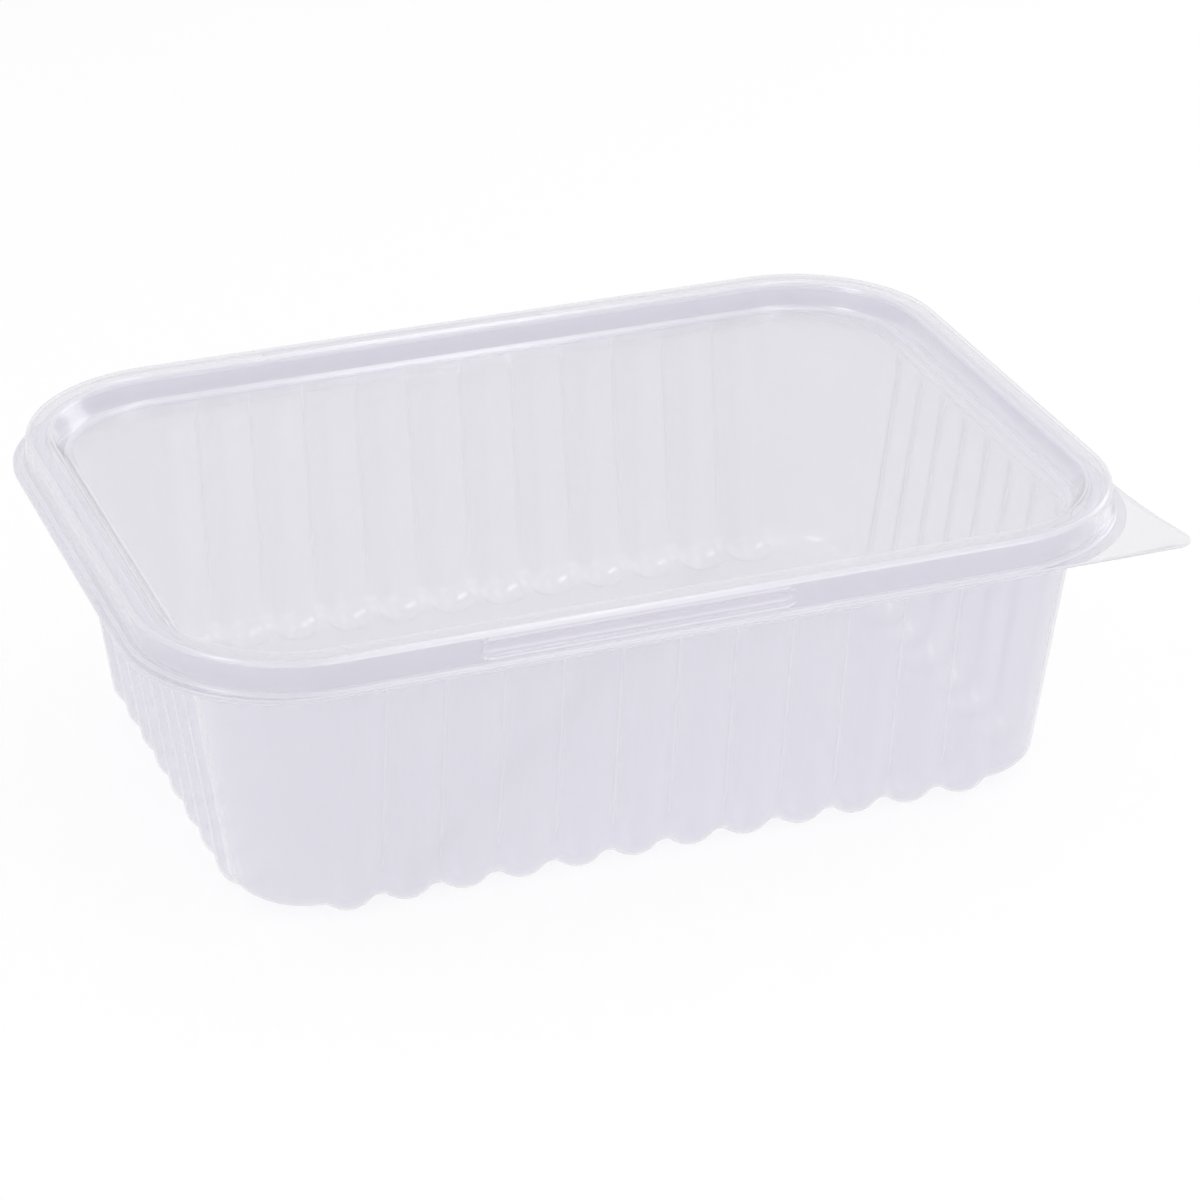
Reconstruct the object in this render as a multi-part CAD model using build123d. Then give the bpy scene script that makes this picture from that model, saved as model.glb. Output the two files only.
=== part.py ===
from build123d import *
import os
from math import atan, cos, degrees

# Hinged-lid deli tub, formed from one clear sheet: a ribbed tray and a lid that folds over it.
# Millimetres, +Z up.  The origin is the middle of the whole outline, on the surface that the feet stand on.
# The long sides run along X.  The lid folds about the edge at -X, and its pull tab is at +X, -Y.

# Sheet and fits
sheet = 0.5                 # thickness of the plastic everywhere
nest_gap = 0.4              # clearance between the lid's ridge and the bead inside it
crease_bevel = 0.4          # softening of the folds along the bead and the ridge

# Tray: base and walls
base_length = 143.4         # over the plain corners, at the foot of the walls
base_width = 100.0
base_corner_radius = 13.0
base_edge_bevel = 2.5       # softening between the base and the walls
bevel_share = 0.6           # how much smaller a bevel is inside, for each thickness of the sheet
rim_height = 47.0           # top of the tray's flange above the ground
wall_flare = 6.0            # how far the walls lean out on the way up

# Tray: upright round ribs that end in feet under the base
rib_radius = 5.0
rib_depth = 1.05            # how far a rib stands out of the wall
rib_count_side = 12
rib_count_end = 8
rib_margin_side = 16.7      # from the end of the base to the middle of the first rib
rib_margin_end = 17.1
rib_top_drop = 1.0          # plain band of wall between the ribs and the flange
foot_depth = 1.6            # how far the feet stand below the base
foot_width = 5.6            # across a foot, at the ground
foot_spread = 1.1           # how much wider a foot is on each side, at the top of the base's bevel
foot_reach = 6.0            # how far a foot runs in under the base from the wall
foot_bevel = 2.1            # softening of a foot's bottom edge, in front

# Tray: hollow bead round the mouth
ledge_end = 4.1             # flat ledge between the mouth and the bead, at the short walls
ledge_side = 0.3            # the same at the long walls
bead_height = 4.9           # above the flange
bead_width = 1.8            # across its top
bead_outer_lean = 0.6       # the bead's outer wall leans in by this much
bead_inner_lean = 0.5       # the bead's inner wall leans out by this much

# Lid: ridge, recessed panel and snap bars
crown_gap = 0.8             # clearance over the bead's top, inside the ridge
skirt_lean = 0.7            # the ridge's outer wall leans in by this much
rim_corner_radius = 27.0    # plan radius at the ridge's outer crease
panel_rise = 1.8            # top of the recessed panel above the flanges' meeting plane
panel_lean = 2.6            # the ridge's inner wall leans in by this much down to the panel
snap_depth = 0.8            # how far a snap bar is pressed into the skirt
snap_radius = 1.6
snap_length = 54.0
snap_shift = -9.0           # the bars' middle, along the long sides
snap_rise = 3.2             # height of a bar's middle above the flanges' meeting plane

# Flanges, fold and pull tab
flange_side = 0.6           # lip outside the skirt at the long sides
flange_fold = 1.6           # the same at the fold
flange_pull = 1.7           # the same at the free end
flange_corner_radius = 27.0
tab_reach = 3.4             # how far the tab's tip stands past the free end
tab_run = 28.0              # length of the tab's hollow edge
tab_tip_radius = 3.0

# Heights
base_level = foot_depth
flange_underside = rim_height - sheet
bead_top = rim_height + bead_height
ridge_top = bead_top + crown_gap + sheet
panel_top = rim_height + panel_rise
rib_top = flange_underside - rib_top_drop

# Lean of the walls
wall_angle = atan(wall_flare / (rim_height - base_level))
wall_slope = wall_flare / (rim_height - base_level)


def grown(half, by):
    """Half sizes, along X and Y, moved outward by the same amount."""
    return (half[0] + by, half[1] + by)


# Half sizes of the rings that the tray and the rim are made of, from the base outward
base_half = (base_length / 2, base_width / 2)
mouth_half = grown(base_half, wall_flare)
bead_inner_foot = (mouth_half[0] - sheet + ledge_end, mouth_half[1] - sheet + ledge_side)
bead_inner = grown(bead_inner_foot, bead_inner_lean)
bead_outer = grown(bead_inner, bead_width)
bead_outer_foot = grown(bead_outer, bead_outer_lean)
ridge_outer = grown(bead_outer, snap_depth + nest_gap + sheet)
ridge_inner = grown(bead_inner, -nest_gap - sheet)
skirt_foot = grown(ridge_outer, skirt_lean)
panel_half = grown(ridge_inner, -panel_lean)
fold_x = -(skirt_foot[0] + flange_fold)
pull_x = skirt_foot[0] + flange_pull
flange_y = skirt_foot[1] + flange_side


def rim_radius(half):
    """Plan radius of a rim ring, concentric with the ridge's outer crease."""
    return rim_corner_radius - (ridge_outer[1] - half[1])


def tapered(half, radius, low, high, growth):
    """Rounded block that grows outward by an amount on its way from one height to another."""
    outline = RectangleRounded(2 * half[0], 2 * half[1], radius)
    lean = degrees(atan(growth / (high - low)))
    return Pos(0, 0, low) * extrude(outline, high - low, taper=-lean)


def rim_block(foot, low, high, growth):
    """Tapered block on one of the rim's rings."""
    return tapered(foot, rim_radius(foot), low, high, growth)


def soft_top(solid, bevel):
    """The same solid with the edges of its top face bevelled."""
    return chamfer(solid.faces().sort_by(Axis.Z)[-1].edges(), bevel)


def soft_bottom(solid, bevel):
    """The same solid with the edges of its bottom face bevelled."""
    return chamfer(solid.faces().sort_by(Axis.Z)[0].edges(), bevel)


def rib(side, inset):
    """One round rib that leans with the wall and ends in a level foot, at the wall at +X (0) or +Y (1)."""
    face = base_half[side] - wall_slope * base_level
    axis = face - (rib_radius - rib_depth) / cos(wall_angle)
    climb = foot_depth + (rib_top - inset) / cos(wall_angle)
    rod = Cylinder(rib_radius - inset, climb, align=(Align.CENTER, Align.CENTER, Align.MIN))
    rod = Pos(0, axis, 0) * Rot(-degrees(wall_angle), 0, 0) * Pos(0, 0, -foot_depth) * rod
    flare = base_level + base_edge_bevel
    cuts = [
        ((0, 0, 0), (0, 0, -1)),
        ((0, face - foot_reach, 0), (0, -1, 0)),
        ((0, axis + rib_radius - foot_bevel, 0), (0, 1, -1)),
        ((foot_width / 2, 0, 0), (flare, 0, -foot_spread)),
        ((-foot_width / 2, 0, 0), (-flare, 0, -foot_spread)),
    ]
    for start, facing in cuts:
        rod = split(rod, Plane(start, z_dir=facing).offset(-inset), keep=Keep.BOTTOM)
    return Rot(0, 0, 90 * side - 90) * rod


def rib_places(count, size, margin):
    """Middles of evenly spaced ribs along a wall of the given size."""
    pitch = (size - 2 * margin) / (count - 1)
    return [pitch * index - (size - 2 * margin) / 2 for index in range(count)]


def ribs(inset):
    """All ribs of the tray, drawn in by a thickness for the inside."""
    side_rib = rib(1, inset)
    end_rib = rib(0, inset)
    turned = Rot(0, 0, 180)
    rows = []
    for place in rib_places(rib_count_side, base_length, rib_margin_side):
        rows.append(Pos(place, 0, 0) * side_rib)
        rows.append(Pos(place, 0, 0) * turned * side_rib)
    for place in rib_places(rib_count_end, base_width, rib_margin_end):
        rows.append(Pos(0, place, 0) * end_rib)
        rows.append(Pos(0, place, 0) * turned * end_rib)
    return rows


def cup(inset):
    """Solid form of the tray's body, drawn in by a thickness for the inside."""
    floor = base_level + inset
    rise = wall_slope * inset
    half = grown(base_half, rise - inset)
    body = tapered(half, base_corner_radius + rise - inset, floor, rim_height, wall_flare - rise)
    return soft_bottom(body, base_edge_bevel - inset * bevel_share) + ribs(inset)


def flange_outline():
    """Plan of the lip that the tray and the lid share, with its straight fold at -X."""
    length = pull_x - fold_x
    middle = (pull_x + fold_x) / 2
    return Pos(middle, 0) * RectangleRounded(length, 2 * flange_y, flange_corner_radius)


def tab_outline():
    """Plan of the pull tab: the front edge runs on straight and the end flares out to meet it."""
    start = (pull_x, tab_run - flange_y)
    tip = (pull_x + tab_reach, -flange_y)
    heel = (pull_x - flange_corner_radius, -flange_y)
    core = (pull_x - flange_corner_radius, tab_run - flange_y)
    hollow = TangentArc(start, tip, tangent=(0, -1))
    plan = make_face([hollow, Line(tip, heel), Line(heel, core), Line(core, start)])
    corner = plan.vertices().sort_by_distance((tip[0], tip[1], 0))[0]
    return fillet(corner, tab_tip_radius)


def tray():
    """Ribbed tub with its hollow bead and its half of the flange."""
    lip = Pos(0, 0, flange_underside) * extrude(flange_outline(), sheet)
    block = rim_block(bead_outer_foot, rim_height, bead_top, -bead_outer_lean)
    opening = rim_block(bead_inner_foot, rim_height, bead_top, bead_inner_lean)
    bead = block - opening
    hollow_foot = grown(bead_outer_foot, -sheet)
    lining_foot = grown(bead_inner_foot, sheet)
    hollow = rim_block(hollow_foot, flange_underside, bead_top - sheet, -bead_outer_lean)
    lining = rim_block(lining_foot, flange_underside, bead_top - sheet, bead_inner_lean)
    return cup(0) + lip + bead - (hollow - lining) - cup(sheet)


def snap_bars(growth):
    """Round bars with bevelled ends, along both long sides, that are pressed into the lid's skirt."""
    radius = snap_radius + growth
    lean_share = snap_rise / (ridge_top - rim_height)
    reach = skirt_foot[1] - skirt_lean * lean_share + snap_radius - snap_depth
    bar = Cylinder(radius, snap_length + 2 * growth)
    bar = Rot(0, 90, 0) * chamfer(bar.edges().filter_by(GeomType.CIRCLE), snap_radius - snap_depth / 2)
    return [Pos(snap_shift, way * reach, rim_height + snap_rise) * bar for way in (-1, 1)]


def lid():
    """Shallow lid: flange with the pull tab, raised ridge, recessed panel and snap bars."""
    lip = Pos(0, 0, rim_height) * extrude(flange_outline() + tab_outline(), sheet)
    dome = rim_block(skirt_foot, rim_height, ridge_top, -skirt_lean)
    recess = rim_block(panel_half, panel_top, ridge_top, panel_lean)
    ridge = soft_top(dome - recess, crease_bevel)
    hollow = rim_block(grown(skirt_foot, -sheet), rim_height, ridge_top - sheet, -skirt_lean)
    plug = rim_block(grown(panel_half, sheet), panel_top - sheet, ridge_top - sheet, panel_lean)
    channel = hollow - plug - snap_bars(sheet)
    return ridge + lip - channel - snap_bars(0)


os.makedirs("parts", exist_ok=True)
lid_solid = lid()
middle_x = lid_solid.bounding_box().center().X
export_step(Pos(-middle_x, 0, 0) * tray(), "parts/tray.step")
export_step(Pos(-middle_x, 0, 0) * lid_solid, "parts/lid.step")
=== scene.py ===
"""Clear food tub with a hinged lid: the formed sheet, its finish, and the studio around it.

The tray and the lid are each one closed sheet of plastic, built as a loop of rings with rounded creases.
The tray's rings swell out into ribs and feet, and the lid's skirt is pressed in by two snap bars.
Sizes are in millimetres in the classes and in metres in the scene.
"""
from __future__ import annotations

import logging
import math
from dataclasses import dataclass, field
from enum import Enum
from typing import Any

import bpy
import numpy as np
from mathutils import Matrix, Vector

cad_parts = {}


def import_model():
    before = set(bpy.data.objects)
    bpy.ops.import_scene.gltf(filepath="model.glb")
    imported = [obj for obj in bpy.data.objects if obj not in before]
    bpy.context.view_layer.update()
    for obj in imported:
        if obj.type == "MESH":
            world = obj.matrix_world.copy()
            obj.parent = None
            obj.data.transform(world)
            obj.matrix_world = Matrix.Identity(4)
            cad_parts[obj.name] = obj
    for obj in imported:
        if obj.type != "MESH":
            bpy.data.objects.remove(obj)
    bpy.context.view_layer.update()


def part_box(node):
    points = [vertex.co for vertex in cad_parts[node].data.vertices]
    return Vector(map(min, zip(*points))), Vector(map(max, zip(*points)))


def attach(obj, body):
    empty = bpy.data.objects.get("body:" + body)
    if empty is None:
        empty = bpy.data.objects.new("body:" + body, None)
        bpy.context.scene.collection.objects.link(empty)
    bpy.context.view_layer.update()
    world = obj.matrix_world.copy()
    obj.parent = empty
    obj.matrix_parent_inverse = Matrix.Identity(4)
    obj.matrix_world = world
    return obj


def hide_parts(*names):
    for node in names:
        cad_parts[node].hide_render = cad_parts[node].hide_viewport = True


Colour = tuple[float, float, float, float]

LOG = logging.getLogger("tub")
METRE = 0.001
BEND = "bend"
WHITE = (1.0, 1.0, 1.0, 1.0)
ROUNDING_SHARE = 0.46
STRAIGHT_COSINE = 0.999
SMALLEST_STEP = 0.05


class Wall(Enum):
    """The four walls, with the direction that each one faces."""

    FRONT = (0.0, -1.0)
    RIGHT = (1.0, 0.0)
    BACK = (0.0, 1.0)
    LEFT = (-1.0, 0.0)


@dataclass(frozen=True)
class Ring:
    """Rounded rectangle in plan at one height, with its own reach to the left and to the right."""

    left: float
    right: float
    half_width: float
    radius: float
    height: float

    def grown(self, by: float, height: float) -> "Ring":
        """Return a concentric ring that is larger by a distance, at another height."""
        return Ring(self.left + by, self.right + by, self.half_width + by, self.radius + by, height)


@dataclass(frozen=True)
class Crease:
    """One line of the sheet's profile: where it runs, how round it is and how finely it is cut."""

    line: np.ndarray
    radius: float = 0.0
    arc_steps: int = 4
    run_steps: int = 1


@dataclass(frozen=True)
class Stations:
    """Places along the outline that every ring of a sheet shares, walked from the front wall's left end."""

    reach_x: float
    reach_y: float
    step_x: float
    step_y: float
    corner_steps: int
    rib_steps: int = 1
    crowding: float = 0.0

    def along(self, wall: Wall) -> np.ndarray:
        """Return the places along one wall in walking order, closer together between the ribs."""
        reach, step = (self.reach_x, self.step_x) if wall.value[0] == 0.0 else (self.reach_y, self.step_y)
        places = np.linspace(-reach, reach, int(round(2.0 * reach / step)) + 1)
        turn = 2.0 * math.pi / (step * self.rib_steps)
        places = places - self.crowding * np.sin(turn * places) / turn
        return places if wall in (Wall.FRONT, Wall.RIGHT) else places[::-1]

    def spans(self) -> dict[Wall, slice]:
        """Return the slice of the outline that each wall takes."""
        spans: dict[Wall, slice] = {}
        start = 0
        for wall in Wall:
            count = len(self.along(wall))
            spans[wall] = slice(start, start + count)
            start += count + self.corner_steps
        return spans

    def corner(self, reach: float, ring: Ring) -> np.ndarray:
        """Return a corner's points in the first quadrant, from the long wall to the short one.

        Args:
            reach: Reach of the ring on this corner's side.
            ring: Ring that the corner belongs to.

        Returns:
            Points between the ends of the two walls, evenly spaced along the outline.
        """
        centre_x = reach - ring.radius
        centre_y = ring.half_width - ring.radius
        first = math.asin(min(max((self.reach_x - centre_x) / ring.radius, 0.0), 1.0))
        last = math.acos(min(max((self.reach_y - centre_y) / ring.radius, 0.0), 1.0))
        lead = max(centre_x - self.reach_x, 0.0)
        tail = max(centre_y - self.reach_y, 0.0)
        bend = ring.radius * (last - first)
        share = np.arange(1, self.corner_steps + 1) / (self.corner_steps + 1)
        walked = share * (lead + bend + tail)
        angle = first + np.clip(walked - lead, 0.0, bend) / ring.radius
        x = centre_x + ring.radius * np.sin(angle) - np.clip(lead - walked, 0.0, lead)
        y = centre_y + ring.radius * np.cos(angle) - np.clip(walked - lead - bend, 0.0, tail)
        return np.stack([x, y], axis=1)

    def outline(self, ring: Ring) -> np.ndarray:
        """Return a ring's points in walking order.

        Args:
            ring: Ring to walk.

        Returns:
            Array of points, one row for each station.
        """
        centre_y = ring.half_width - ring.radius
        parts: list[np.ndarray] = []
        for wall in Wall:
            place = self.along(wall)
            if wall in (Wall.FRONT, Wall.BACK):
                past = np.maximum(place - ring.right + ring.radius, -place - ring.left + ring.radius)
                past = np.clip(past, 0.0, ring.radius)
                side = centre_y + np.sqrt(ring.radius**2 - past**2)
                parts.append(np.stack([place, wall.value[1] * side], axis=1))
            else:
                reach = ring.right if wall is Wall.RIGHT else ring.left
                past = np.clip(np.abs(place) - centre_y, 0.0, ring.radius)
                side = reach - ring.radius + np.sqrt(ring.radius**2 - past**2)
                parts.append(np.stack([wall.value[0] * side, place], axis=1))
            right = self.corner(ring.right, ring)
            left = self.corner(ring.left, ring)
            parts.append({
                Wall.FRONT: right * [1.0, -1.0],
                Wall.RIGHT: right[::-1],
                Wall.BACK: left * [-1.0, 1.0],
                Wall.LEFT: left[::-1] * [-1.0, -1.0],
            }[wall])
        plan = np.concatenate(parts)
        return np.column_stack([plan, np.full(len(plan), ring.height)])


def soft_positive(value: np.ndarray, blend: float) -> np.ndarray:
    """Return the value where it is positive and nought elsewhere, with a round turn between them.

    Args:
        value: Values to limit.
        blend: Width of the turn.

    Returns:
        Limited values.
    """
    return 0.5 * (value + np.sqrt(value**2 + blend**2))


def smooth_step(low: float, high: float, value: np.ndarray) -> np.ndarray:
    """Return a smooth rise from 0 at one value to 1 at another.

    Args:
        low: Value where the rise starts.
        high: Value where it ends.
        value: Values to map.

    Returns:
        Shares from 0 to 1.
    """
    share = np.clip((value - low) / (high - low), 0.0, 1.0)
    return share**2 * (3.0 - 2.0 * share)


def rounded_profile(creases: list[Crease]) -> np.ndarray:
    """Run a sheet's profile through its creases, rounding each one at every station.

    Args:
        creases: Lines of the profile, in order.

    Returns:
        Points by row, station and axis.
    """
    lines = [crease.line for crease in creases]
    rows: list[np.ndarray] = [lines[0]]
    for index in range(1, len(creases)):
        crease = creases[index]
        steps = creases[index - 1].run_steps
        if index == len(creases) - 1 or crease.radius == 0.0:
            arc = [lines[index]]
        else:
            back = lines[index - 1] - lines[index]
            ahead = lines[index + 1] - lines[index]
            back_size = np.linalg.norm(back, axis=1, keepdims=True)
            ahead_size = np.linalg.norm(ahead, axis=1, keepdims=True)
            cosine = np.sum(back * ahead, axis=1, keepdims=True) / (back_size * ahead_size)
            cosine = np.clip(cosine, -STRAIGHT_COSINE, STRAIGHT_COSINE)
            half_turn = 0.5 * (math.pi - np.arccos(cosine))
            room = ROUNDING_SHARE * np.minimum(back_size, ahead_size)
            cut = np.minimum(crease.radius * np.tan(half_turn), room)
            start = lines[index] + back / back_size * cut
            end = lines[index] + ahead / ahead_size * cut
            weight = np.cos(half_turn)
            arc = []
            for share in np.linspace(0.0, 1.0, crease.arc_steps + 1):
                first = (1.0 - share) ** 2
                middle = 2.0 * share * (1.0 - share) * weight
                last = share**2
                arc.append((first * start + middle * lines[index] + last * end) / (first + middle + last))
        before = rows[-1]
        for step in range(1, steps):
            rows.append(before + (arc[0] - before) * (step / steps))
        rows.extend(arc)
    return np.stack(rows)


def bend_share(rows: np.ndarray, gentle: float = 0.3, sharp: float = 1.0) -> np.ndarray:
    """Tell how sharply a sheet turns at each of its points.

    Args:
        rows: Points by row, station and axis, in millimetres.
        gentle: Turn, in radians for each millimetre, that counts as nought.
        sharp: Turn that counts as one.

    Returns:
        Shares by row and station.
    """
    along = np.roll(rows, -1, axis=1) - np.roll(rows, 1, axis=1)
    across = np.gradient(rows, axis=0)
    normal = np.cross(along, across)
    normal = normal / np.maximum(np.linalg.norm(normal, axis=2, keepdims=True), 1e-9)
    turn_along = np.linalg.norm(np.roll(normal, -1, axis=1) - np.roll(normal, 1, axis=1), axis=2)
    turn_across = np.linalg.norm(np.gradient(normal, axis=0), axis=2)
    along_size = np.maximum(np.linalg.norm(along, axis=2), SMALLEST_STEP)
    across_size = np.maximum(np.linalg.norm(across, axis=2), SMALLEST_STEP)
    return smooth_step(gentle, sharp, np.maximum(turn_along / along_size, turn_across / across_size))


def sheet_mesh(name: str, rows: np.ndarray, shift: float) -> bpy.types.Object:
    """Make a closed sheet from its rows of points, with both flat ends capped.

    Args:
        name: Name of the piece.
        rows: Points by row, station and axis, in millimetres.
        shift: Distance to move the piece along X, in millimetres.

    Returns:
        The piece, linked to the scene and shaded smooth.
    """
    count, around = rows.shape[:2]
    points = (rows.reshape(-1, 3) + [shift, 0.0, 0.0]) * METRE
    low = np.arange(count - 1)[:, None] * around + np.arange(around)[None, :]
    low_next = np.arange(count - 1)[:, None] * around + np.roll(np.arange(around), -1)[None, :]
    quads = np.stack([low, low_next, low_next + around, low + around], axis=2).reshape(-1, 4)
    faces: list[list[int]] = quads.tolist()
    faces.append(list(range(around - 1, -1, -1)))
    faces.append(list(range((count - 1) * around, count * around)))
    mesh = bpy.data.meshes.new(name)
    mesh.from_pydata(points.tolist(), [], faces)
    mesh.update()
    mesh.shade_smooth()
    bend = mesh.attributes.new(BEND, "FLOAT", "POINT")
    bend.data.foreach_set("value", bend_share(rows).ravel())
    piece = bpy.data.objects.new(name, mesh)
    bpy.context.scene.collection.objects.link(piece)
    return piece


@dataclass(frozen=True)
class Rod:
    """Round rod with a ball end that leans with a wall: its end's place, direction and radius."""

    end_out: float
    end_height: float
    lean: float
    radius: float
    least_way: float = 0.02

    def exit(
        self,
        along: np.ndarray,
        out: np.ndarray,
        height: np.ndarray,
        way: tuple[np.ndarray, np.ndarray],
    ) -> np.ndarray:
        """Find how far points move before they leave the rod.

        Args:
            along: Distance from the rod's middle plane.
            out: Distance from the tray's middle plane.
            height: Height of the points.
            way: Outward and upward parts of the direction in which the points move.

        Returns:
            Distances, negative where a point starts outside the rod.
        """
        out_way, up_way = way
        away = out - self.end_out
        above = height - self.end_height
        side = away * math.cos(self.lean) - above * math.sin(self.lean)
        side_way = out_way * math.cos(self.lean) - up_way * math.sin(self.lean)
        side_way = np.maximum(side_way, self.least_way)
        room = self.radius**2 - along**2
        by_rod = (np.sign(room) * np.sqrt(np.abs(room)) - side) / side_way
        climb_out = (away + by_rod * out_way) * math.sin(self.lean)
        climb_up = (above + by_rod * up_way) * math.cos(self.lean)
        heading = away * out_way + above * up_way
        room = heading**2 - (along**2 + away**2 + above**2 - self.radius**2)
        by_ball = np.sign(room) * np.sqrt(np.abs(room)) - heading
        return np.where(climb_out + climb_up >= 0.0, by_rod, by_ball)


@dataclass
class Rim:
    """Sizes that the tray and the lid share, and the rings that follow from them."""

    sheet: float = 0.5
    base_half: tuple[float, float] = (71.7, 50.0)
    base_radius: float = 13.0
    base_level: float = 1.6
    rim_height: float = 47.0
    wall_flare: float = 6.0
    ledge: tuple[float, float] = (4.1, 0.3)
    bead_inner_lean: float = 0.5
    bead_outer_lean: float = 0.6
    bead_width: float = 1.8
    ridge_gap: float = 1.7
    nest: float = 0.9
    skirt_lean: float = 0.7
    panel_lean: float = 2.6
    rim_radius: float = 27.0
    flange_radius: float = 27.0
    flange_fold: float = 1.6
    flange_pull: float = 1.7
    flange_side: float = 0.6
    seam: float = 0.02

    @property
    def slope(self) -> float:
        """Outward run of the walls for each unit of height."""
        return self.wall_flare / (self.rim_height - self.base_level)

    def wall(self, height: float, inset: float) -> Ring:
        """Return the wall's ring at a height, drawn in by part of the sheet."""
        by = self.slope * (height - self.base_level) - inset * math.hypot(1.0, self.slope)
        half_x, half_y = self.base_half
        return Ring(half_x, half_x, half_y, self.base_radius, height).grown(by, height)

    def bead(self, by: float, height: float) -> Ring:
        """Return a ring of the rim, measured outward from the foot of the bead's inner wall."""
        mouth = self.wall(self.rim_height, 0.0)
        half_x = mouth.right - self.sheet + self.ledge[0]
        half_y = mouth.half_width - self.sheet + self.ledge[1]
        return Ring(half_x, half_x, half_y, self.rim_radius - self.crest, height).grown(by, height)

    @property
    def crest(self) -> float:
        """Distance from the bead's inner foot to the ridge's outer crease."""
        return self.bead_inner_lean + self.bead_width + self.ridge_gap

    @property
    def inner_crest(self) -> float:
        """Distance from the bead's inner foot to the ridge's inner crease."""
        return self.bead_inner_lean - self.nest

    def flange(self, height: float) -> Ring:
        """Return the outer edge of the flange."""
        foot = self.bead(self.crest + self.skirt_lean, height)
        return Ring(
            foot.left + self.flange_fold,
            foot.right + self.flange_pull,
            foot.half_width + self.flange_side,
            self.flange_radius,
            height,
        )


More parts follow.
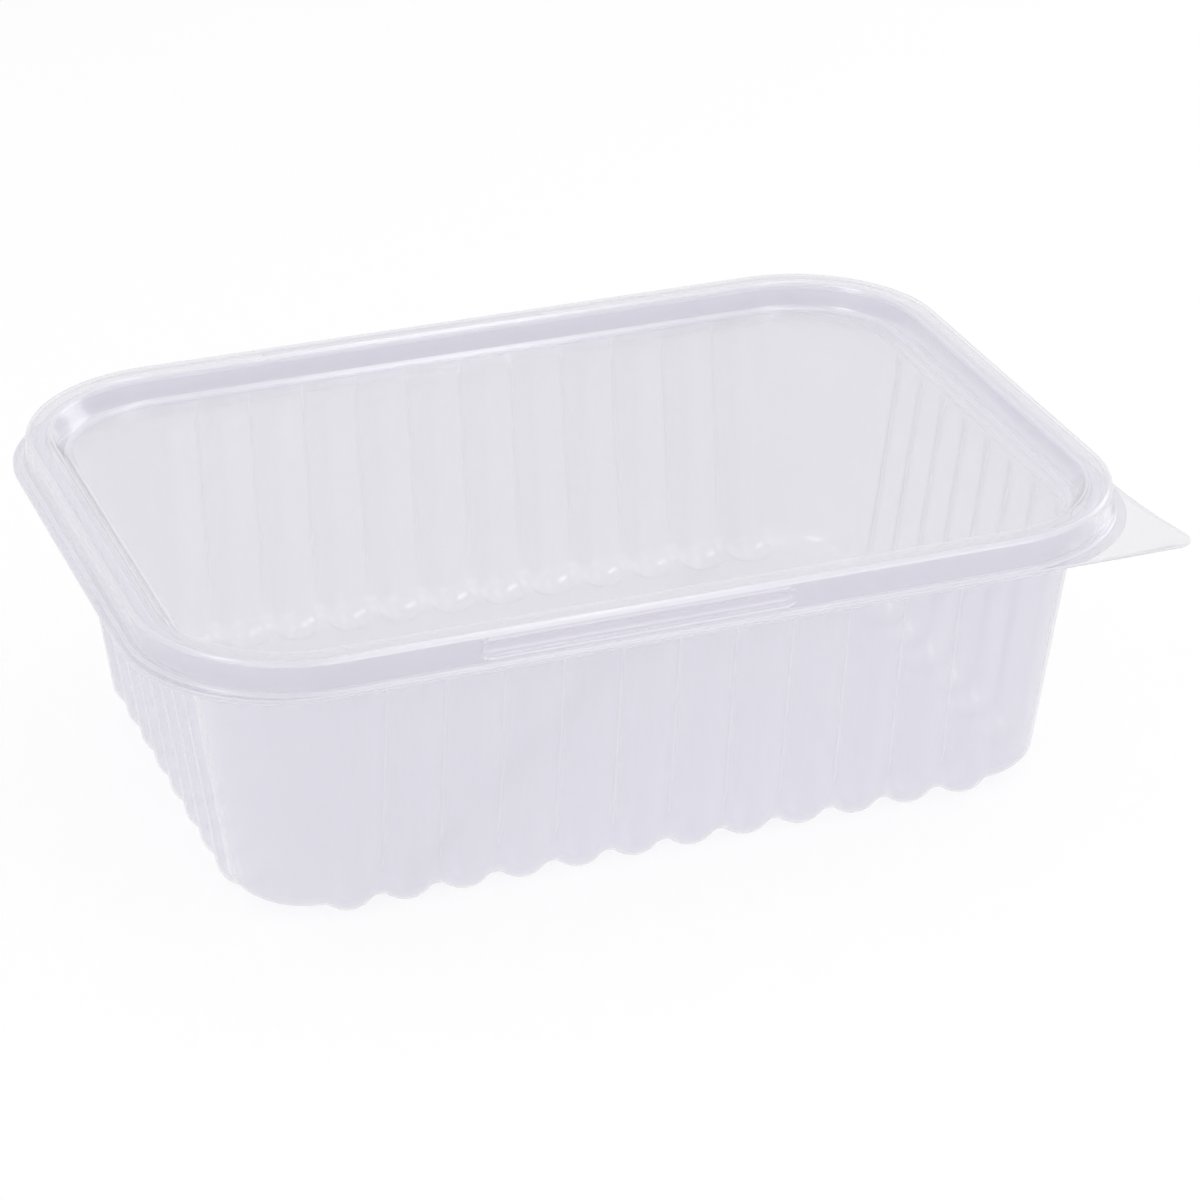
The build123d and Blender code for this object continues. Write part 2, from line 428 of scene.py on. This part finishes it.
@dataclass
class Tray:
    """Ribbed tray: walls, feet, ledge, hollow bead and its half of the flange."""

    rim: Rim
    shift: float
    bead_height: float = 4.9
    edge_radius: float = 4.0
    bead_radius: float = 0.9
    foot_radius: float = 0.7
    inner_radius: float = 0.5
    seat_radius: float = 0.4
    fold_radius: float = 0.3
    lip_radius: float = 0.06
    floor_band: float = 9.5
    rib_radius: float = 5.0
    rib_depth: float = 1.05
    rib_ball_height: float = 4.75
    rib_pitch: tuple[float, float] = (10.0, 9.4)
    rib_count: tuple[int, int] = (12, 8)
    rib_fade: tuple[float, float] = (43.2, 45.6)
    rib_blend: float = 0.5
    groove_depth: float = 0.35
    groove_half: float = 0.85
    groove_foot: tuple[float, float] = (3.0, 16.0)
    ground_blend: float = 0.05
    rib_steps: int = 14
    half_steps: tuple[int, int] = (84, 57)
    corner_steps: int = 26
    crowding: float = 0.5
    stations: Stations = field(init=False)

    def __post_init__(self) -> None:
        """Space the stations so that every rib gets the same ones."""
        step_x, step_y = (pitch / self.rib_steps for pitch in self.rib_pitch)
        self.stations = Stations(
            reach_x=self.half_steps[0] * step_x,
            reach_y=self.half_steps[1] * step_y,
            step_x=step_x,
            step_y=step_y,
            corner_steps=self.corner_steps,
            rib_steps=self.rib_steps,
            crowding=self.crowding,
        )

    def creases(self) -> tuple[list[Crease], int, int]:
        """List the profile from the outside of the floor, over the bead, to its inside.

        Returns:
            The creases, and the numbers of creases on the outer and the inner wall.
        """
        rim = self.rim
        line = self.stations.outline
        sheet = rim.sheet
        under = rim.rim_height - sheet
        face = rim.rim_height - rim.seam
        top = rim.rim_height + self.bead_height
        floor = rim.base_level
        lining = floor + sheet
        inner_top = rim.bead_inner_lean
        outer_top = inner_top + rim.bead_width
        outer_foot = outer_top + rim.bead_outer_lean
        outer = [
            Crease(line(rim.wall(floor, 0.0).grown(-self.floor_band, floor)), run_steps=13),
            Crease(line(rim.wall(floor, 0.0)), self.edge_radius, arc_steps=9, run_steps=14),
            Crease(line(rim.wall(under, 0.0)), self.fold_radius, arc_steps=2),
        ]
        over = [
            Crease(line(rim.bead(sheet, under)), self.fold_radius, arc_steps=2),
            Crease(line(rim.bead(inner_top + sheet, top - sheet)), self.inner_radius, arc_steps=3),
            Crease(line(rim.bead(outer_top - sheet, top - sheet)), self.inner_radius, arc_steps=3),
            Crease(line(rim.bead(outer_foot - sheet, under)), self.foot_radius, arc_steps=3, run_steps=2),
            Crease(line(rim.flange(under)), self.fold_radius, arc_steps=3),
            Crease(line(rim.flange(face)), self.lip_radius, arc_steps=1, run_steps=2),
            Crease(line(rim.bead(outer_foot, face)), self.seat_radius, arc_steps=3, run_steps=2),
            Crease(line(rim.bead(outer_top, top)), self.bead_radius, arc_steps=5, run_steps=2),
            Crease(line(rim.bead(inner_top, top)), self.bead_radius, arc_steps=5, run_steps=2),
            Crease(line(rim.bead(0.0, rim.rim_height)), self.inner_radius, arc_steps=3, run_steps=2),
        ]
        inner = [
            Crease(line(rim.wall(rim.rim_height, sheet)), self.inner_radius, arc_steps=3, run_steps=14),
            Crease(line(rim.wall(lining, sheet)), self.edge_radius - sheet, arc_steps=9, run_steps=13),
            Crease(line(rim.wall(lining, sheet).grown(-self.floor_band, lining))),
        ]
        return outer + over + inner, len(outer), len(inner)

    def swell(self, rows: np.ndarray, inset: float) -> np.ndarray:
        """Push wall and floor rows out into the ribs and feet.

        Args:
            rows: Rows of one side of the sheet, in order along the profile.
            inset: Distance of that side inside the outer surface.

        Returns:
            The rows with the ribs in them.
        """
        rim = self.rim
        swollen = rows.copy()
        lean = math.atan(rim.slope)
        sink = (self.rib_radius - self.rib_depth) / math.cos(lean)
        for wall, span in self.stations.spans().items():
            lengthwise = wall.value[0] == 0.0
            half = rim.base_half[1 if lengthwise else 0]
            pitch = self.rib_pitch[0 if lengthwise else 1]
            count = self.rib_count[0 if lengthwise else 1]
            part = rows[:, span]
            facing = np.array(wall.value)
            out = part[:, :, :2] @ facing
            height = part[:, :, 2]
            along = part[:, :, 0] if lengthwise else part[:, :, 1]
            nearest = np.clip(np.round(along / pitch + (count - 1) / 2), 0, count - 1) - (count - 1) / 2
            out_run = np.gradient(out[:, 0])
            up_run = np.gradient(height[:, 0])
            size = np.hypot(out_run, up_run)
            turn = 1.0 if up_run[np.argmax(np.abs(up_run))] > 0.0 else -1.0
            out_way = (turn * up_run / size)[:, None]
            up_way = (-turn * out_run / size)[:, None]
            end_out = half + rim.slope * (self.rib_ball_height - rim.base_level) - sink
            rod = Rod(end_out, self.rib_ball_height, lean, self.rib_radius - inset)
            push = rod.exit(along - nearest * pitch, out, height, (out_way, up_way))
            push = soft_positive(push, self.rib_blend)
            furrow = np.clip(np.round(along / pitch), 1 - count / 2, count / 2 - 1)
            groove = self.groove_depth * np.exp(-(((along - furrow * pitch) / self.groove_half) ** 2))
            push = push - groove * smooth_step(self.groove_foot[0], self.groove_foot[1], height)
            push = push * (1.0 - smooth_step(self.rib_fade[0], self.rib_fade[1], height))
            swollen[:, span, :2] += (push * out_way)[:, :, None] * facing
            swollen[:, span, 2] = inset + soft_positive(height + push * up_way - inset, self.ground_blend)
        return swollen

    def build(self, finish: "ClearSheet") -> bpy.types.Object:
        """Build the tray, dress it and join it to the frame.

        Args:
            finish: Finish of the sheet.

        Returns:
            The tray's piece.
        """
        creases, outer, inner = self.creases()
        rows = rounded_profile(creases)
        outer_rows = len(rounded_profile(creases[:outer]))
        inner_rows = len(rounded_profile(creases[-inner:]))
        rows[:outer_rows] = self.swell(rows[:outer_rows], 0.0)
        rows[-inner_rows:] = self.swell(rows[-inner_rows:], self.rim.sheet)
        piece = sheet_mesh("tray_shell", rows, self.shift)
        piece.data.materials.append(finish.material())
        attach(piece, "tray")
        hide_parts("tray")
        return piece


@dataclass
class Lid:
    """Folding lid: flange with the pull tab, skirt with snap bars, ridge and sunk panel."""

    rim: Rim
    shift: float
    ridge_top: float = 53.2
    crown: float = 0.25
    panel_top: float = 48.8
    panel_band: float = 9.0
    snap_radius: float = 1.6
    snap_depth: float = 0.8
    snap_length: float = 54.0
    snap_middle: float = -9.0
    snap_rise: float = 3.2
    snap_blend: float = 0.25
    tab_reach: float = 3.4
    tab_run: float = 28.0
    tab_tip_radius: float = 3.0
    tab_steps: tuple[int, int] = (60, 16)
    crowd_weight: float = 2.5
    crowd_area: float = 40.0
    crowd_steps: int = 2000
    ridge_radius: float = 4.0
    panel_radius: float = 1.4
    crest_radius: float = 1.1
    under_radius: float = 0.9
    foot_radius: float = 0.7
    inner_radius: float = 0.6
    edge_radius: float = 0.3
    seat_radius: float = 0.25
    lip_radius: float = 0.06
    stations: Stations = Stations(reach_x=59.8, reach_y=38.2, step_x=0.85, step_y=1.1, corner_steps=40)

    def tab_line(self, height: float) -> np.ndarray:
        """Return the flange's edge with the pull tab at the front right corner.

        Args:
            height: Height of the edge.

        Returns:
            Points, one row for each station.
        """
        ring = self.rim.flange(height)
        line = self.stations.outline(ring)
        front = -ring.half_width
        tip = ring.right + self.tab_reach
        sagitta = (self.tab_run**2 + self.tab_reach**2) / (2.0 * self.tab_reach)
        turn = math.asin(self.tab_run / sagitta)
        corner = np.array([tip, front])
        start = np.array([self.stations.reach_x, front])
        angles = np.linspace(turn, 0.0, self.tab_steps[0])
        hollow = np.stack([
            ring.right + sagitta * (1.0 - np.cos(angles)),
            front + self.tab_run - sagitta * np.sin(angles),
        ], axis=1)
        heading = hollow[1] - hollow[0]
        heading = heading / np.linalg.norm(heading)
        half_turn = 0.5 * math.acos(heading[0])
        cut = self.tab_tip_radius * math.tan(half_turn)
        weight = math.cos(half_turn)
        shares = np.linspace(0.0, 1.0, self.tab_steps[1])[:, None]
        blend = 2.0 * shares * (1.0 - shares) * weight
        tip_start = corner - [cut, 0.0]
        tip_end = corner + heading * cut
        rounding = (1.0 - shares) ** 2 * tip_start + blend * corner + shares**2 * tip_end
        rounding = rounding / ((1.0 - shares) ** 2 + blend + shares**2)
        past = np.linalg.norm(hollow - corner, axis=1) > cut
        path = np.concatenate([start[None], rounding, hollow[past]])
        spans = self.stations.spans()
        right = self.stations.along(Wall.RIGHT)
        above = right > front + self.tab_run
        path = np.concatenate([path, [[ring.right, right[above][0]]]])
        walked = np.concatenate([[0.0], np.cumsum(np.linalg.norm(np.diff(path, axis=0), axis=1))])
        first = spans[Wall.FRONT].stop - 1
        last = spans[Wall.RIGHT].start + int(np.argmax(above))
        places = self.tab_places(walked, path, last - first, tip)
        line[first:last + 1, 0] = np.interp(places, walked, path[:, 0])
        line[first:last + 1, 1] = np.interp(places, walked, path[:, 1])
        return line

    def tab_places(self, walked: np.ndarray, path: np.ndarray, count: int, tip: float) -> np.ndarray:
        """Space stations along the tab's edge, closer together round its tip.

        Args:
            walked: Length of the edge up to each of its points.
            path: Points of the edge.
            count: Number of gaps between stations.
            tip: Reach of the tab's tip.

        Returns:
            Lengths along the edge, one for each station.
        """
        away = (path[:, 0] - tip) ** 2 + (path[:, 1] - path[0, 1]) ** 2
        near = np.exp(-away / self.crowd_area)
        fine = np.linspace(0.0, walked[-1], self.crowd_steps)
        weight = 1.0 + self.crowd_weight * np.interp(fine, walked, near)
        total = np.concatenate([[0.0], np.cumsum(0.5 * (weight[1:] + weight[:-1]))])
        return np.interp(np.linspace(0.0, total[-1], count + 1), total, fine)

    def creases(self) -> tuple[list[Crease], int, int]:
        """List the profile from the underside of the panel, round the flange, to its top.

        Returns:
            The creases, and the numbers of the creases where the inner and the outer skirt start.
        """
        rim = self.rim
        line = self.stations.outline
        sheet = rim.sheet
        face = rim.rim_height + rim.seam
        lip = rim.rim_height + sheet
        top = self.ridge_top - self.crown
        foot = rim.crest + rim.skirt_lean
        panel = rim.inner_crest - rim.panel_lean
        middle = 0.5 * (rim.crest + rim.inner_crest)
        under = self.panel_top - sheet
        lip_foot = foot - rim.skirt_lean * sheet / (self.ridge_top - rim.rim_height)
        creases = [
            Crease(line(rim.bead(panel + sheet - self.panel_band, under)), run_steps=2),
            Crease(line(rim.bead(panel + sheet, under)), self.under_radius, run_steps=3),
            Crease(line(rim.bead(rim.inner_crest + sheet, top - sheet)), self.inner_radius, run_steps=2),
            Crease(line(rim.bead(middle, self.ridge_top - sheet)), self.ridge_radius, run_steps=2),
            Crease(line(rim.bead(rim.crest - sheet, top - sheet)), self.inner_radius, run_steps=16),
            Crease(line(rim.bead(foot - sheet, face)), self.seat_radius, arc_steps=2, run_steps=3),
            Crease(self.tab_line(face), self.lip_radius, arc_steps=1),
            Crease(self.tab_line(lip), self.edge_radius, arc_steps=3, run_steps=4),
            Crease(line(rim.bead(lip_foot, lip)), self.foot_radius, run_steps=16),
            Crease(line(rim.bead(rim.crest, top)), self.crest_radius, arc_steps=6, run_steps=2),
            Crease(line(rim.bead(middle, self.ridge_top)), self.ridge_radius, run_steps=2),
            Crease(line(rim.bead(rim.inner_crest, top)), self.crest_radius, arc_steps=6, run_steps=3),
            Crease(line(rim.bead(panel, self.panel_top)), self.panel_radius, arc_steps=6, run_steps=2),
            Crease(line(rim.bead(panel - self.panel_band, self.panel_top))),
        ]
        return creases, 4, 8

    def press(self, rows: np.ndarray, growth: float) -> np.ndarray:
        """Press the snap bars into the skirt.

        Args:
            rows: Rows of one side of the skirt.
            growth: Distance of that side inside the outer surface.

        Returns:
            The rows with the bars in them.
        """
        rim = self.rim
        pressed = rows.copy()
        share = self.snap_rise / (self.ridge_top - rim.rim_height)
        face = rim.bead(rim.crest + rim.skirt_lean * (1.0 - share), 0.0).half_width
        middle_out = face + self.snap_radius - self.snap_depth
        reach = 0.5 * self.snap_length - self.snap_radius
        radius = self.snap_radius + growth
        for wall, span in self.stations.spans().items():
            if wall.value[0] != 0.0:
                continue
            part = rows[:, span]
            past = part[:, :, 0] - self.snap_middle
            past = past - np.clip(past, -reach, reach)
            rise = part[:, :, 2] - rim.rim_height - self.snap_rise
            room = radius**2 - past**2 - rise**2
            floor = middle_out - np.sign(room) * np.sqrt(np.abs(room))
            out = part[:, :, 1] * wall.value[1]
            pressed[:, span, 1] -= wall.value[1] * soft_positive(out - floor, self.snap_blend)
        return pressed

    def build(self, finish: "ClearSheet") -> bpy.types.Object:
        """Build the lid, dress it and join it to the frame.

        Args:
            finish: Finish of the sheet.

        Returns:
            The lid's piece.
        """
        creases, inner, outer = self.creases()
        rows = rounded_profile(creases)
        for start, growth in ((inner, self.rim.sheet), (outer, 0.0)):
            first = len(rounded_profile(creases[:start + 1]))
            last = len(rounded_profile(creases[:start + 2])) - 1
            rows[first:last] = self.press(rows[first:last], growth)
        piece = sheet_mesh("lid_shell", rows, self.shift)
        piece.data.materials.append(finish.material())
        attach(piece, "lid")
        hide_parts("lid")
        return piece


@dataclass(frozen=True)
class Wire:
    """A shader socket that takes part in sums."""

    graph: "Graph"
    socket: bpy.types.NodeSocket

    def __add__(self, other: "Wire | float") -> "Wire":
        """Return the sum."""
        return self.graph.maths("ADD", self, other)

    def __radd__(self, other: float) -> "Wire":
        """Return the sum with a plain number first."""
        return self.graph.maths("ADD", other, self)

    def __sub__(self, other: "Wire | float") -> "Wire":
        """Return the difference."""
        return self.graph.maths("SUBTRACT", self, other)

    def __rsub__(self, other: float) -> "Wire":
        """Return the difference from a plain number."""
        return self.graph.maths("SUBTRACT", other, self)

    def __mul__(self, other: "Wire | float") -> "Wire":
        """Return the product."""
        return self.graph.maths("MULTIPLY", self, other)

    def __rmul__(self, other: float) -> "Wire":
        """Return the product with a plain number first."""
        return self.graph.maths("MULTIPLY", other, self)

    def __pow__(self, power: float) -> "Wire":
        """Return the power."""
        return self.graph.maths("POWER", self, power)


class Graph:
    """A node tree that is filled by calls."""

    def __init__(self, tree: bpy.types.NodeTree) -> None:
        """Empty the tree and keep it."""
        tree.nodes.clear()
        self.tree = tree

    def add(
        self,
        kind: str,
        settings: dict[str, Any] | None = None,
        output: int | str = 0,
        **inputs: Any,
    ) -> Wire:
        """Add one node.

        Args:
            kind: Type of the node.
            settings: Properties that are set before the sockets.
            output: Output that is handed back.
            **inputs: Values or wires by socket name, with underscores for spaces, or i and its number.

        Returns:
            The chosen output, or the node's first input where it has no output.
        """
        node = self.tree.nodes.new(kind)
        for key, value in (settings or {}).items():
            setattr(node, key, value)
        for key, value in inputs.items():
            numbered = key[0] == "i" and key[1:].isdigit()
            socket = node.inputs[int(key[1:]) if numbered else key.replace("_", " ")]
            if isinstance(value, Wire):
                self.tree.links.new(value.socket, socket)
            else:
                socket.default_value = value
        return Wire(self, node.outputs[output] if node.outputs else node.inputs[0])

    def maths(self, operation: str, first: Wire | float, second: Wire | float = 0.0) -> Wire:
        """Add a sum, product or other operation on two values."""
        return self.add("ShaderNodeMath", {"operation": operation}, i0=first, i1=second)

    def mix(self, share: Wire, first: "Wire | Colour", second: "Wire | Colour") -> Wire:
        """Add a colour mix of two colours."""
        settings = {"data_type": "RGBA", "blend_type": "MIX"}
        return self.add("ShaderNodeMix", settings, 2, i0=share, i6=first, i7=second)


@dataclass(frozen=True)
class ClearSheet:
    """Clear, slightly milky formed plastic, with ripples, clouds and a painted highlight in its bends: a
    paler, more opaque film where the sheet turns sharply.
    """

    name: str
    tint: Colour = (0.82, 0.802, 0.887, 1.0)
    cool_tint: Colour = (0.845, 0.828, 0.906, 1.0)
    # The next two paint a highlight: the tint turns near white where the sheet bends sharply, in place of
    # light caught along creases and grooves.
    bend_highlight_tint: Colour = (0.98, 0.975, 0.99, 1.0)
    bend_highlight_share: float = 0.8
    cover: float = 0.36
    edge_cover: float = 0.15
    edge_power: float = 4.0
    # Painted highlight: the film is more opaque where the sheet bends sharply, so the pale lines show.
    bend_highlight_cover: float = 0.45
    cloud_cover: float = 0.06
    cloud_scale: float = 16.0
    through: float = 0.5
    density: float = 1.5
    gloss: float = 0.13
    gloss_spread: float = 0.10
    mirror: float = 0.045
    mirror_power: float = 5.0
    ripple: float = 0.12
    ripple_scale: float = 75.0
    ripple_height: float = 0.0008

    def material(self) -> bpy.types.Material:
        """Return the finish as a material."""
        material = bpy.data.materials.new(self.name)
        material.use_nodes = True
        graph = Graph(material.node_tree)
        place = graph.add("ShaderNodeTexCoord", output="Object")
        cloud = graph.add("ShaderNodeTexNoise", i0=place, Scale=self.cloud_scale, Detail=0.0)
        ripple = graph.add("ShaderNodeTexNoise", i0=place, Scale=self.ripple_scale, Detail=0.0)
        bend = graph.add("ShaderNodeAttribute", {"attribute_name": BEND}, "Fac")
        facing = graph.add("ShaderNodeLayerWeight", output="Facing", Blend=0.5)
        cover = self.cover + self.edge_cover * facing**self.edge_power
        # The cloud term varies the cover at random; the bend term is part of the painted highlight, a more
        # opaque film in sharp bends.
        cover = cover + self.cloud_cover * (cloud - 0.5) + self.bend_highlight_cover * bend
        flat_tint = graph.mix(cloud, self.tint, self.cool_tint)
        # Painted highlight: the colour turns near white in sharp bends.
        colour = graph.mix(self.bend_highlight_share * bend, flat_tint, self.bend_highlight_tint)
        bump = graph.add(
            "ShaderNodeBump",
            Strength=self.ripple,
            Distance=self.ripple_height,
            Height=ripple,
        )
        roughness = self.gloss + self.gloss_spread * ripple
        skin = graph.add(
            "ShaderNodeBsdfPrincipled",
            {"distribution": "GGX"},
            Base_Color=colour,
            Roughness=roughness,
            IOR=self.density,
            Normal=bump,
        )
        milk = graph.add("ShaderNodeBsdfTranslucent", Color=self.tint, Normal=bump)
        film = graph.add("ShaderNodeMixShader", i0=self.through, i1=skin, i2=milk)
        clear = graph.add("ShaderNodeBsdfTransparent", Color=WHITE)
        body = graph.add("ShaderNodeMixShader", i0=cover, i1=clear, i2=film)
        shine = graph.add(
            "ShaderNodeBsdfAnisotropic",
            {"distribution": "GGX"},
            Color=WHITE,
            Roughness=roughness,
            Normal=bump,
        )
        glance = self.mirror + (1.0 - self.mirror) * facing**self.mirror_power
        surface = graph.add("ShaderNodeMixShader", i0=glance, i1=body, i2=shine)
        graph.add("ShaderNodeOutputMaterial", Surface=surface)
        return material


TRAY_SHEET = ClearSheet("tray_sheet")
LID_SHEET = ClearSheet(
    "lid_sheet",
    tint=(0.86, 0.845, 0.908, 1.0),
    cool_tint=(0.88, 0.865, 0.923, 1.0),
    cover=0.18,
)


@dataclass
class Studio:
    """White floor and backdrop, soft boxes and the camera at the photograph's angle."""

    shift: float
    azimuth: float = -20.75
    elevation: float = 27.13
    distance: float = 731.38
    target: tuple[float, float, float] = (5.25, -4.31, 25.0)
    lens: float = 126.0
    sensor: float = 36.0
    nearest: float = 0.01
    aim: tuple[float, float, float] = (0.0, 0.0, 0.03)
    floor_half: float = 4.0
    floor_level: float = -0.00005
    floor_tone: Colour = (0.97, 0.97, 0.97, 1.0)
    floor_white: float = 0.55
    ambient: float = 0.78
    sheet_passes: int = 16
    turns: int = 2

    @staticmethod
    def seen(graph: Graph) -> Wire:
        """Return 1 for rays that look at a surface straight, in a reflection or through clear plastic."""
        kinds = ("Is Camera Ray", "Is Glossy Ray", "Is Transmission Ray")
        camera, glossy, through = (graph.add("ShaderNodeLightPath", output=kind) for kind in kinds)
        return graph.maths("MAXIMUM", graph.maths("MAXIMUM", camera, glossy), through)

    def floor(self) -> bpy.types.Object:
        """Lay the pale floor.

        Returns:
            The floor, which isn't part of the object.
        """
        half = self.floor_half
        mesh = bpy.data.meshes.new("floor")
        level = self.floor_level
        corners = [(-half, -half, level), (half, -half, level), (half, half, level), (-half, half, level)]
        mesh.from_pydata(corners, [], [(0, 1, 2, 3)])
        material = bpy.data.materials.new("pale_floor")
        material.use_nodes = True
        graph = Graph(material.node_tree)
        matte = graph.add("ShaderNodeBsdfDiffuse", Color=self.floor_tone)
        white = graph.add("ShaderNodeEmission", Color=WHITE, Strength=1.0)
        layers = graph.add("ShaderNodeLightPath", output="Transparent Depth")
        behind_plastic = graph.maths("MINIMUM", layers, 1.0)
        share = self.seen(graph) * graph.maths("MAXIMUM", behind_plastic, self.floor_white)
        surface = graph.add("ShaderNodeMixShader", i0=share, i1=matte, i2=white)
        graph.add("ShaderNodeOutputMaterial", Surface=surface)
        mesh.materials.append(material)
        floor = bpy.data.objects.new("floor", mesh)
        bpy.context.scene.collection.objects.link(floor)
        return floor

    def world(self) -> None:
        """Fill the room with soft white light, with a white backdrop behind the object."""
        world = bpy.data.worlds.new("white_room")
        world.use_nodes = True
        graph = Graph(world.node_tree)
        soft = graph.add("ShaderNodeBackground", Color=WHITE, Strength=self.ambient)
        white = graph.add("ShaderNodeBackground", Color=WHITE, Strength=1.0)
        surface = graph.add("ShaderNodeMixShader", i0=self.seen(graph), i1=soft, i2=white)
        graph.add("ShaderNodeOutputWorld", Surface=surface)
        world.cycles.sampling_method = "NONE"
        bpy.context.scene.world = world

    def lamp(
        self,
        name: str,
        place: tuple[float, float, float],
        size: tuple[float, float],
        power: float,
    ) -> None:
        """Hang one soft box that points at the object.

        Args:
            name: Name of the lamp.
            place: Where it hangs, in metres.
            size: Width and height of its face, in metres.
            power: Power in watts.
        """
        light = bpy.data.lights.new(name, "AREA")
        light.shape = "RECTANGLE"
        light.size, light.size_y = size
        light.energy = power
        light.use_shadow = False
        lamp = bpy.data.objects.new(name, light)
        lamp.location = place
        aim = Vector(self.aim) - lamp.location
        lamp.rotation_euler = aim.to_track_quat("-Z", "Y").to_euler()
        bpy.context.scene.collection.objects.link(lamp)

    def lamps(self) -> None:
        """Hang the soft boxes."""
        self.lamp("overhead_strip", (0.3, 0.0, 1.0), (1.4, 0.1), 1.5)
        self.lamp("front_box", (0.35, -1.0, 0.45), (0.8, 0.5), 1.6)
        self.lamp("left_box", (-0.6, -0.05, 0.85), (0.3, 0.3), 1.2)
        self.lamp("right_box", (0.95, 0.25, 0.38), (0.5, 0.3), 1.0)

    def camera(self) -> bpy.types.Object:
        """Set the camera at the photograph's angle.

        Returns:
            The camera.
        """
        turn = math.radians(self.azimuth)
        rise = math.radians(self.elevation)
        back = Vector((math.sin(turn) * math.cos(rise), -math.cos(turn) * math.cos(rise), math.sin(rise)))
        target = (Vector(self.target) + Vector((self.shift, 0.0, 0.0))) * METRE
        lens = bpy.data.cameras.new("photo_camera")
        lens.lens = self.lens
        lens.sensor_width = self.sensor
        lens.clip_start = self.nearest
        camera = bpy.data.objects.new("photo_camera", lens)
        camera.location = target + back * self.distance * METRE
        camera.rotation_euler = (-back).to_track_quat("-Z", "Y").to_euler()
        bpy.context.scene.collection.objects.link(camera)
        bpy.context.scene.camera = camera
        return camera

    def build(self) -> None:
        """Set up the view, floor, room, lamps and camera."""
        scene = bpy.context.scene
        scene.view_settings.view_transform = "Standard"
        scene.cycles.transparent_max_bounces = self.sheet_passes
        scene.cycles.max_bounces = 2 * self.turns
        scene.cycles.diffuse_bounces = self.turns
        scene.cycles.glossy_bounces = self.turns
        self.floor()
        self.world()
        self.lamps()
        self.camera()


def main() -> None:
    """Build the tub on its frame."""
    logging.basicConfig(level=logging.INFO, format="%(name)s: %(message)s")
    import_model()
    rim = Rim()
    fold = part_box("tray")[0].x / METRE
    shift = fold + rim.flange(0.0).left
    pieces = [
        Tray(rim, shift).build(TRAY_SHEET),
        Lid(rim, shift).build(LID_SHEET),
    ]
    Studio(shift).build()
    for piece in pieces:
        LOG.info("%s: %d points, %d faces", piece.name, len(piece.data.vertices), len(piece.data.polygons))
    bpy.context.view_layer.update()


if __name__ == "__main__":
    main()
